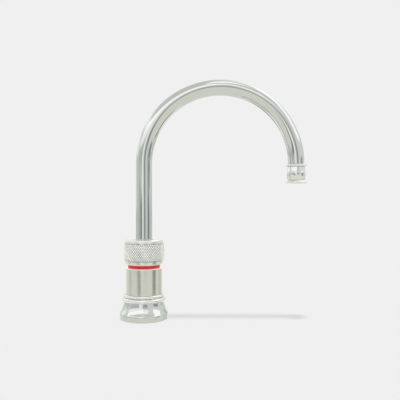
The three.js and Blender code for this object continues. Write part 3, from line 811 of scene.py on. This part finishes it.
def makeStraightener():
    disc = {"radius": 8.25, "cell": 1.45, "pitch": 3.2, "ringsOfCells": 2}
    at = place("flow_straightener")
    cells = []
    for row in range(-disc["ringsOfCells"], disc["ringsOfCells"] + 1):
        inRow = disc["ringsOfCells"] * 2 + 1 - abs(row)
        for i in range(inRow):
            cellX = (i - (inRow - 1) / 2) * disc["pitch"]
            cells.append((cellX, row * disc["pitch"] * math.sqrt(3) / 2, disc["cell"], 6))
    bm = bmesh.new()
    holedDisc(bm, disc["radius"], cells, at["low"], at["high"], spoutX)
    return finishPiece(bm, "stream_former", "flow_straightener")


# ---- Below the worktop ----

def makeShank():
    shank = {"crest": 16.0, "root": 15.1, "pitch": 1.5, "sides": 64, "lead": 0.4, "bore": 12.5,
             "threadTop": -1.0, "runOut": 0.8, "chamfer": 1.0}
    at = place("threaded_shank")
    bm = bmesh.new()
    low, high = woundThread(bm, shank, at["low"] + shank["chamfer"], shank["threadTop"])
    low = addRing(bm, low, shank["root"] - shank["lead"], at["low"])
    low = addRing(bm, low, shank["bore"], at["low"])
    for radius, height in (
        (at["radius"], shank["threadTop"] + shank["runOut"]),
        (at["radius"], at["high"] - shank["chamfer"]),
        (at["radius"] - shank["chamfer"], at["high"]),
        (shank["bore"], at["high"]),
    ):
        high = addRing(bm, high, radius, height)
    bmesh.ops.bridge_loops(bm, edges=low + high)
    return finishPiece(bm, "shank", "threaded_shank")


def makeHoseFitting():
    fitting = {"crest": 5.6, "root": 5.05, "pitch": 1.0, "sides": 48, "lead": 0.3, "leadHigh": 0.7,
               "threadEnd": 0.9, "runOut": 0.5, "bore": 2.8, "acrossFlats": 14.0, "face": 6.7,
               "chamfer": 0.7, "nutLow": 6.0, "floor": 9.6, "hoseBore": 4.4}
    at = place("hose_fitting")
    corner = fitting["acrossFlats"] / math.sqrt(3)
    nutLow = at["low"] + fitting["nutLow"]
    bm = bmesh.new()
    threadTop = nutLow - fitting["threadEnd"]
    low, high = woundThread(bm, fitting, at["low"] + fitting["leadHigh"], threadTop)
    low = addRing(bm, low, fitting["root"] - fitting["lead"], at["low"])
    low = addRing(bm, low, fitting["bore"], at["low"])
    for radius, height in (
        (fitting["root"], nutLow - fitting["runOut"]),
        (fitting["root"], nutLow),
        (fitting["face"], nutLow),
        (corner, nutLow + fitting["chamfer"]),
        (corner, at["high"] - fitting["chamfer"]),
        (fitting["face"], at["high"]),
        (fitting["hoseBore"], at["high"]),
        (fitting["hoseBore"], at["low"] + fitting["floor"]),
        (fitting["bore"], at["low"] + fitting["floor"]),
    ):
        high = addRing(bm, high, radius, height)
    bmesh.ops.bridge_loops(bm, edges=low + high)
    cutFlats(bm, fitting["acrossFlats"])
    return finishPiece(bm, "hose_nut", "hose_fitting")


def makeBacknut():
    nut = {"bore": 16.4, "acrossFlats": 46.0, "face": 22.7, "faceEdge": 0.2, "chamfer": 1.9,
           "boreChamfer": 0.8, "sides": 144}  # a multiple of six, for the flats
    at = place("backnut")
    corner = nut["acrossFlats"] / math.sqrt(3)
    return turned("clamp_nut", "backnut", [
        (nut["bore"] + nut["boreChamfer"], at["low"]),
        (nut["face"], at["low"], nut["faceEdge"]),
        (corner, at["low"] + nut["chamfer"]),
        (corner, at["high"] - nut["chamfer"]),
        (nut["face"], at["high"], nut["faceEdge"]),
        (nut["bore"] + nut["boreChamfer"], at["high"]),
        (nut["bore"], at["high"] - nut["boreChamfer"]),
        (nut["bore"], at["low"] + nut["boreChamfer"]),
    ], sides=nut["sides"], acrossFlats=nut["acrossFlats"])


def onCircle(verts, radius, tolerance=0.01):
    return all(abs(vert.co.xy.length / mm - radius) < tolerance for vert in verts)


def makeGland():
    gland = {"spigot": 12.1, "hoseHole": 4.4, "hoseSides": 48, "leadHole": 2.2, "leadSides": 32,
             "leadX": -8.3, "flange": 2.7, "edge": 0.6}
    at = place("shank_gland")
    bm = bmesh.new()
    holes = [(0, 0, gland["hoseHole"], gland["hoseSides"]),
             (gland["leadX"], 0, gland["leadHole"], gland["leadSides"])]
    holedDisc(bm, gland["spigot"], holes, at["low"], at["high"])
    flangeTop = (at["low"] + gland["flange"]) * mm
    cutPlane(bm, (0, 0, flangeTop), (0, 0, 1), clear=False)
    band = [face for face in bm.faces if onCircle(face.verts, gland["spigot"])
            and at["low"] * mm + weld < face.calc_center_median().z < flangeTop]
    made = bmesh.ops.extrude_face_region(bm, geom=band)["geom"]
    for vert in vertsOf(made):
        vert.co.xy = vert.co.xy.normalized() * at["radius"] * mm
    bmesh.ops.remove_doubles(bm, verts=bm.verts, dist=weld)
    rims = [edge for edge in bm.edges if onCircle(edge.verts, at["radius"])
            and abs(edge.verts[0].co.z - edge.verts[1].co.z) < weld]
    bmesh.ops.bevel(bm, geom=rims, offset=gland["edge"] * mm, offset_type="OFFSET", segments=3,
                    profile=0.5, affect="EDGES", material=-1)
    return finishPiece(bm, "lead_gland", "shank_gland")


# ---- Rings, bushes and clips ----

# the node, the new piece, its bore and how far its edges are rounded
plainRings = [
    ("worktop_seal", "foot_seal", 18.6, 0.3),
    ("clamp_seal", "rubber_washer", 16.4, 0.5),
    ("clamp_washer", "pressed_washer", 16.4, 0.4),
    ("knob_wiper", "wiper_ring", 10.6, 0.1),
    ("nozzle_seal", "outlet_seal", 4.6, 0.4),
]
# the node, the new piece, its inner and its outer radius
snapRings = [
    ("neck_snap_ring", "neck_circlip", 14.1, 16.4),
    ("knob_clip", "knob_circlip", 16.9, 19.4),
    ("spout_clip", "spout_circlip", 9.95, 12.1),
]


def makePlainRing(node, name, bore, edge):
    at = place(node)
    return turned(name, node, [
        (bore, at["low"], edge),
        (at["radius"], at["low"], edge),
        (at["radius"], at["high"], edge),
        (bore, at["high"], edge),
    ], at["x"], narrowSides)


def makeBush(node, name):
    bush = {"bore": 10.6, "groove": 11.9, "grooveHalf": 1.1, "edge": 0.3}
    at = place(node)
    middle = (at["low"] + at["high"]) / 2
    return turned(name, node, [
        (bush["bore"], at["low"], bush["edge"]),
        (at["radius"], at["low"], bush["edge"]),
        (at["radius"], at["high"], bush["edge"]),
        (bush["bore"], at["high"], bush["edge"]),
        (bush["bore"], middle + bush["grooveHalf"]),
        (bush["groove"], middle + bush["grooveHalf"]),
        (bush["groove"], middle - bush["grooveHalf"]),
        (bush["bore"], middle - bush["grooveHalf"]),
    ], sides=narrowSides)


def makeORing(node, name):
    ring = {"cord": 0.5, "cordSides": 16}
    at = place(node)
    bm = bmesh.new()
    middle = (at["low"] + at["high"]) / 2
    addWireSection(bm, ring["cord"], at["radius"] - ring["cord"], middle, ring["cordSides"])
    spinRound(bm, narrowSides)
    return finishPiece(bm, name, node)


def makeSnapRing(node, name, inner, outer):
    ring = {"mouth": 50.0, "edge": 0.12, "steps": 84}
    at = place(node)
    bm = bmesh.new()
    addOutline(bm, [
        (inner, at["low"], ring["edge"]),
        (outer, at["low"], ring["edge"]),
        (outer, at["high"], ring["edge"]),
        (inner, at["high"], ring["edge"]),
    ])
    mouth = math.radians(ring["mouth"])
    bmesh.ops.rotate(bm, verts=bm.verts, cent=(0, 0, 0), matrix=Matrix.Rotation(mouth / 2, 3, "Z"))
    start = bm.edges[:]
    made = bmesh.ops.spin(bm, geom=bm.verts[:] + start, cent=(0, 0, 0), axis=(0, 0, 1),
                          dvec=(0, 0, 0), angle=math.tau - mouth, steps=ring["steps"],
                          use_merge=False, use_duplicate=False)
    for loop in (start, edgesOf(made["geom_last"])):
        bmesh.ops.contextual_create(bm, geom=loop)
    return finishPiece(bm, name, node)


def makeNozzleAdapter():
    adapter = {"bore": 3.0, "hoseBore": 4.4, "floor": 16.0, "edge": 0.3}
    at = place("nozzle_adapter")
    return turned("hose_adapter", "nozzle_adapter", [
        (adapter["bore"], at["low"]),
        (at["radius"], at["low"], adapter["edge"]),
        (at["radius"], at["high"], adapter["edge"]),
        (adapter["hoseBore"], at["high"], adapter["edge"]),
        (adapter["hoseBore"], outletHeight + adapter["floor"]),
        (adapter["bore"], outletHeight + adapter["floor"]),
    ], spoutX, narrowSides)


makeFoot()
makeCollar()
makeSleeve()
makeLightRing()
makeKnurl()
makeTopCap()
makeLowerRim()
makeSpoutTube()
makeNozzleCollar()
makeNozzleBell()
makeNozzleRim()
makeStraightener()
print("pieces above the worktop made")

makeShank()
makeBacknut()
makeHoseFitting()
makeGland()
for ring in plainRings:
    makePlainRing(*ring)
print("pieces below the worktop and plain rings made")

makeSpring()
makeWaterTube()
makeNozzleAdapter()
makeBush("lower_bush", "lower_bearing")
makeBush("upper_bush", "upper_bearing")
makeORing("lower_o_ring", "lower_seal_ring")
makeORing("upper_o_ring", "upper_seal_ring")
for ring in snapRings:
    makeSnapRing(*ring)
print("inner pieces made")


# ---- Studio: a world that metal sees as panels round the tap, a pale floor, a lamp overhead ----

studio = {
    "background": (0.871, 0.871, 0.871),
    "fill": 0.56,  # what matt surfaces receive from all round
    "room": (1.0, 1.01, 1.0),
    "tableTint": (1.0, 1.01, 0.92),  # the worktop below is cream
    "tableEdge": (-3.0, -9.0),  # the elevations between which its tint comes in
    "lampStrength": 1.35,
    "lampAngle": 5.0,
    "lampTilt": 2.0,
    "floorShare": 0.45,  # how much of the floor's own light is real shading
    "floorRadius": 2.6,  # in metres
    "floorSides": 128,
}
# each panel: azimuths from the camera's side towards +X, elevations, softness, brightness; later
# ones cover the earlier ones, and the last five are behind the tap
panels = [
    ((-200, -130), (45, 90), 12, 0.95),
    ((-130, -12), (40, 90), 12, 0.86),
    ((-12, 38), (55, 77), 6, 1.6),
    ((12, 62), (40, 57), 8, 0.86),
    ((62, 150), (66, 90), 10, 1.2),
    ((80, 150), (40, 64), 8, 1.75),
    ((66, 110), (32, 44), 6, 1.6),
    ((58, 100), (19, 33), 5, 1.6),
    ((-62, 28), (27, 38), 4, 1.45),
    ((2, 30), (23, 30), 4, 1.35),
    ((-88, 2), (24, 35), 4, 1.62),
    ((-85, 2), (16, 25), 4, 1.38),
    ((-140, -100), (27, 36), 6, 1.5),
    ((-138, -104), (9, 19), 5, 1.35),
    ((155, 205), (-20, 24), 12, 1.0),
    ((155, 205), (28, 58), 10, 1.35),
    ((-200, 200), (-110, -9), 3, 1.0),
    ((-200, 200), (-5, -1), 1.5, 0.8),
    ((108, 150), (-14, 2), 5, 0.84),
    ((-104, -80), (-11.5, 8), 6, 0.78),
    ((-75, -20), (3, 13), 4, 0.72),
    ((-70, -42), (-5.5, 2.5), 3, 0.64),
    ((31, 50), (-5.5, 14), 6, 0.95),
    ((50, 62), (-5.5, 5), 3, 0.7),
    ((-42, -19), (-6.5, 0.5), 3, 0.36),
    ((-20.5, -9), (-5.5, 14), 2, 1.35),
    ((-9, -0.5), (-6, 8), 2, 1.1),
    ((0, 28), (8, 19), 4, 0.75),
    ((1, 21), (-5.5, 9), 3, 0.55),
    ((10, 25), (-5.5, 8), 3, 0.45),
    ((60, 85), (-11.5, 1), 3, 0.38),
    ((60, 90), (1, 8), 3, 0.48),
    ((-36, -13), (-11.5, -6.5), 2.5, 0.5),
    ((130, 152), (5, 15), 4, 0.7),
    ((98, 122), (-42, -16), 5, 0.5),
    ((126, 138), (-42, -16), 4, 1.5),
    ((-158, -136), (-42, -16), 5, 0.55),
    ((-132, -118), (-42, -16), 4, 1.5),
]


def panelMask(tree, azimuth, elevation, azimuths, elevations, softness):
    masks = []
    for angle, (low, high) in ((azimuth, azimuths), (elevation, elevations)):
        offset = calc(tree, "SUBTRACT", angle, (low + high) / 2)
        offset = calc(tree, "ABSOLUTE", calc(tree, "WRAP", offset, 180.0, -180.0))
        inner, outer = (high - low - softness) / 2, (high - low + softness) / 2
        masks.append(ramp(tree, offset, outer, inner, smooth=True))
    return calc(tree, "MULTIPLY", *masks)


def makeWorld():
    world = bpy.data.worlds.new("studio")
    bpy.context.scene.world = world
    world.use_nodes = True
    world.cycles.sampling_method = "NONE"
    tree = world.node_tree
    split = apart(tree, tree.nodes.new("ShaderNodeTexCoord").outputs["Generated"])
    towardCamera = calc(tree, "MULTIPLY", split[1], -1.0)
    azimuth = calc(tree, "DEGREES", calc(tree, "ARCTAN2", split[0], towardCamera))
    elevation = calc(tree, "DEGREES", calc(tree, "ARCSINE", split[2]))
    seen = studio["room"]
    for azimuths, elevations, softness, brightness in panels:
        mask = panelMask(tree, azimuth, elevation, azimuths, elevations, softness)
        seen = mixColour(tree, mask, seen, (brightness,) * 3)
    low = ramp(tree, elevation, *studio["tableEdge"], smooth=True)
    seen = mixColour(tree, low, seen, studio["tableTint"], "MULTIPLY")
    path = tree.nodes.new("ShaderNodeLightPath").outputs
    inMetal = calc(tree, "MAXIMUM", path["Is Glossy Ray"], path["Is Transmission Ray"])
    colour = mixColour(tree, inMetal, (studio["fill"],) * 3, seen)
    colour = mixColour(tree, path["Is Camera Ray"], colour, studio["background"])
    setInput(tree, tree.nodes["Background"].inputs["Color"], colour)


def mixShader(tree, factor, first, second):
    node = tree.nodes.new("ShaderNodeMixShader")
    setInput(tree, node.inputs[0], factor)
    tree.links.new(first, node.inputs[1])
    tree.links.new(second, node.inputs[2])
    return node.outputs[0]


def makeFloor():
    bm = bmesh.new()
    bmesh.ops.create_circle(bm, cap_ends=True, radius=studio["floorRadius"],
                            segments=studio["floorSides"])
    floor = addMesh("floor", bm)
    material = bpy.data.materials.new("floor")
    material.use_nodes = True
    material.cycles.emission_sampling = "NONE"
    tree = material.node_tree
    tree.nodes.remove(tree.nodes["Principled BSDF"])
    lit = studio["fill"] + studio["lampStrength"] / math.pi
    matt = tree.nodes.new("ShaderNodeBsdfDiffuse")
    setInput(tree, matt.inputs["Color"], tuple(channel / lit for channel in studio["background"]))
    glow = tree.nodes.new("ShaderNodeEmission")
    setInput(tree, glow.inputs["Color"], studio["background"])
    clear = tree.nodes.new("ShaderNodeBsdfTransparent")  # metal looks past the floor
    path = tree.nodes.new("ShaderNodeLightPath").outputs
    glowing = calc(tree, "MULTIPLY", path["Is Camera Ray"], 1 - studio["floorShare"])
    shown = mixShader(tree, glowing, matt.outputs[0], glow.outputs[0])
    shown = mixShader(tree, path["Is Glossy Ray"], shown, clear.outputs[0])
    tree.links.new(shown, tree.nodes["Material Output"].inputs["Surface"])
    floor.data.materials.append(material)


def makeLamp():
    data = bpy.data.lights.new("overhead", "SUN")
    data.energy = studio["lampStrength"]
    data.angle = math.radians(studio["lampAngle"])
    lamp = addObject("overhead", data)
    lamp.rotation_euler = (math.radians(studio["lampTilt"]), 0, 0)
    lamp.visible_glossy = False


def makeCamera():
    camera = {"x": 69.9, "back": 650.0, "height": 147.25, "lens": 46.8}
    data = bpy.data.cameras.new("camera")
    data.lens = camera["lens"]
    seer = addObject("camera", data)
    seer.location = Vector((camera["x"], -camera["back"], camera["height"])) * mm
    seer.rotation_euler = (math.pi / 2, 0, 0)
    bpy.context.scene.camera = seer


makeWorld()
makeFloor()
makeLamp()
makeCamera()
bpy.context.scene.view_settings.view_transform = "Standard"
print("studio ready")
